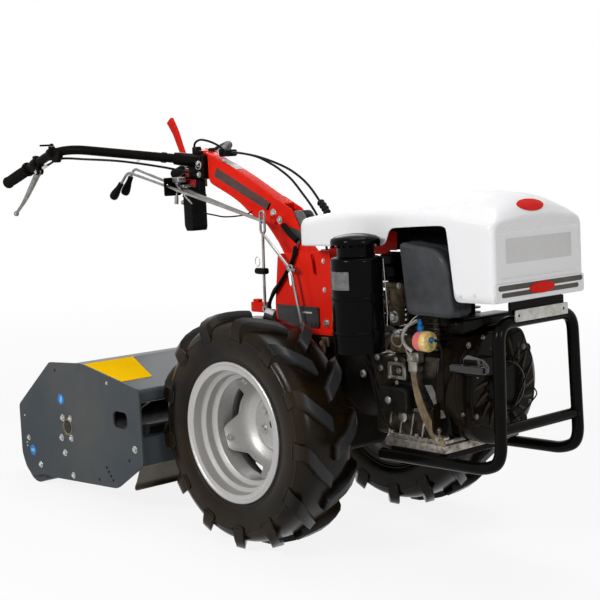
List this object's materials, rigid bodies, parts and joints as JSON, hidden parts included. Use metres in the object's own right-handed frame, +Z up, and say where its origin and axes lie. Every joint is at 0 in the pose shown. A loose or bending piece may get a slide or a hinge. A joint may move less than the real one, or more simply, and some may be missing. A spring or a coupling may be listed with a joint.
{
  "type": "two-wheel tractor",
  "caption": "Walk-behind two-wheel tractor with a diesel engine in front, a red handlebar column and a flail mulcher on its rear power take-off.",
  "frame": {"origin": "middle of the bounding box at ground level", "axes": "+X towards the engine end, +Y to the machine's left as the operator stands, +Z up"},
  "size_m": [1.73, 0.8, 0.9988],
  "materials": {
    "tyre_rubber": "satin black rubber",
    "wheel_silver": "satin silver paint",
    "hub_black": "black paint on iron",
    "housing_black": "black paint on castings",
    "red_paint": "gloss red paint",
    "red_plastic": "gloss red plastic",
    "zinc_steel": "bright zinc plate",
    "black_paint": "gloss black paint",
    "black_cast": "black paint on light castings",
    "black_plastic": "matt black plastic",
    "white_plastic": "gloss white plastic",
    "bare_aluminium": "bare castings",
    "crinkle_grey": "dark grey crinkle paint",
    "can_black": "gloss black",
    "filter_red": "gloss pinkish red",
    "slate_paint": "slate blue-grey paint",
    "grip_rubber": "matt black rubber"
  },
  "bodies": {
    "chassis": {"gearbox_housing": "housing_black", "clutch_housing": "housing_black", "turret_bracket": "red_paint", "column_mount": "housing_black", "cover_plate": "crinkle_grey", "crankcase": "bare_aluminium", "cylinder_barrel": "bare_aluminium", "cylinder_head": "bare_aluminium", "fan_shroud": "black_cast", "starter_cover": "black_cast", "exhaust_box": "crinkle_grey", "side_cover": "crinkle_grey", "fuel_tank": "black_plastic", "fuel_filter": "filter_red", "air_cleaner": "can_black", "hood": "white_plastic", "bumper_frame": "black_paint", "bumper_plate": "zinc_steel", "take_off_coupling": "hub_black", "mulcher_gearbox": "hub_black", "mulcher_deck": "slate_paint", "mulcher_plate_right": "slate_paint", "mulcher_plate_left": "slate_paint", "belt_case": "slate_paint"},
    "wheel_right": {"tyre_right": "tyre_rubber", "rim_right": "wheel_silver", "wheel_disc_right": "wheel_silver", "half_shaft_right": "hub_black"},
    "wheel_left": {"tyre_left": "tyre_rubber", "rim_left": "wheel_silver", "wheel_disc_left": "wheel_silver", "half_shaft_left": "hub_black"},
    "crank": {"crankshaft": "zinc_steel", "flywheel": "hub_black"},
    "starter_pull": {"starter_grip": "grip_rubber"},
    "column": {"handlebar_column": "red_paint", "column_cheeks": "zinc_steel", "handle_head": "black_cast", "handle_tube_right": "black_paint", "handle_tube_left": "black_paint", "grip_right": "grip_rubber", "grip_left": "grip_rubber", "cable_clip": "black_plastic", "control_box": "black_plastic", "rod_guide": "black_paint", "throttle_cable": "grip_rubber", "clutch_cable": "grip_rubber", "brake_cable": "grip_rubber"},
    "right_lever": {"brake_lever_right": "zinc_steel"},
    "left_lever": {"brake_lever_left": "zinc_steel"},
    "safety": {"safety_lever": "red_plastic"},
    "throttle": {"throttle_lever": "black_plastic"},
    "gear_shift": {"gear_rod": "zinc_steel"},
    "take_off_shift": {"take_off_rod": "zinc_steel"},
    "gear_arm": {"gear_link": "zinc_steel"},
    "take_off_arm": {"take_off_link": "zinc_steel"},
    "rotor": {"flail_rotor": "slate_paint"},
    "roller_drum": {"roller": "slate_paint"},
    "flap": {"front_flap": "slate_paint"}
  },
  "joints": [
    {"name": "wheel_right_spin", "type": "hinge", "parent": "chassis", "child": "wheel_right", "pos_m": [0.20796, -0.2623, 0.2839], "axis": [0, 1, 0], "continuous": true},
    {"name": "wheel_left_spin", "type": "hinge", "parent": "chassis", "child": "wheel_left", "pos_m": [0.20796, 0.2623, 0.2839], "axis": [0, 1, 0], "continuous": true},
    {"name": "crank_spin", "type": "hinge", "parent": "chassis", "child": "crank", "pos_m": [0.66377, 0, 0.43351], "axis": [0.9976, 0, 0.0686], "continuous": true},
    {"name": "starter_slide", "type": "slide", "parent": "chassis", "child": "starter_pull", "axis": [0, -1, 0], "range_m": [0, 0.35], "stiffness_N_per_m": 20, "springref_m": -0.3},
    {"name": "column_tilt", "type": "hinge", "parent": "chassis", "child": "column", "pos_m": [-0.00076, 0, 0.75368], "axis": [0, 1, 0], "range_deg": [-8, 12], "deforming": ["throttle_cable", "clutch_cable"]},
    {"name": "right_lever_squeeze", "type": "hinge", "parent": "column", "child": "right_lever", "pos_m": [-0.68346, -0.3, 0.85709], "axis": [0, 1, 0], "range_deg": [0, 22], "stiffness_Nm_per_rad": 0.5, "springref_deg": -28.65},
    {"name": "left_lever_squeeze", "type": "hinge", "parent": "column", "child": "left_lever", "pos_m": [-0.68346, 0.3, 0.85709], "axis": [0, 1, 0], "range_deg": [0, 22], "stiffness_Nm_per_rad": 0.5, "springref_deg": -28.65},
    {"name": "safety_press", "type": "hinge", "parent": "column", "child": "safety", "pos_m": [-0.7309, 0.263, 0.86185], "axis": [0, 1, 0], "range_deg": [-40, 0], "stiffness_Nm_per_rad": 0.5, "springref_deg": 28.65},
    {"name": "throttle_turn", "type": "hinge", "parent": "column", "child": "throttle", "pos_m": [-0.61354, -0.3, 0.93346], "axis": [-0.0686, 0, 0.9976], "range_deg": [-40, 30]},
    {"name": "gear_rod_slide", "type": "slide", "parent": "column", "child": "gear_shift", "axis": [-0.9863, 0, 0.1647], "range_m": [-0.015, 0.015]},
    {"name": "take_off_rod_slide", "type": "slide", "parent": "column", "child": "take_off_shift", "axis": [-0.9811, 0, 0.1934], "range_m": [-0.015, 0.015]},
    {"name": "gear_link_swing", "type": "hinge", "parent": "chassis", "child": "gear_arm", "pos_m": [0.20368, -0.0985, 0.47004], "axis": [0, 1, 0], "range_deg": [-3, 3]},
    {"name": "take_off_link_swing", "type": "hinge", "parent": "chassis", "child": "take_off_arm", "pos_m": [0.01481, -0.0665, 0.52722], "axis": [0, 1, 0], "range_deg": [-4, 4]},
    {"name": "rotor_spin", "type": "hinge", "parent": "chassis", "child": "rotor", "pos_m": [-0.41028, 0, 0.19327], "axis": [0, 1, 0], "continuous": true},
    {"name": "roller_spin", "type": "hinge", "parent": "chassis", "child": "roller_drum", "pos_m": [-0.59322, 0, 0.05489], "axis": [0, 1, 0], "continuous": true},
    {"name": "flap_swing", "type": "hinge", "parent": "chassis", "child": "flap", "pos_m": [-0.08911, 0, 0.1507], "axis": [0, 1, 0], "range_deg": [0, 60]}
  ],
  "couplings": [
    {"joint": "gear_link_swing", "follows": "gear_rod_slide", "rad_per_m": -3.2973},
    {"joint": "take_off_link_swing", "follows": "take_off_rod_slide", "rad_per_m": -4.3298}
  ]
}
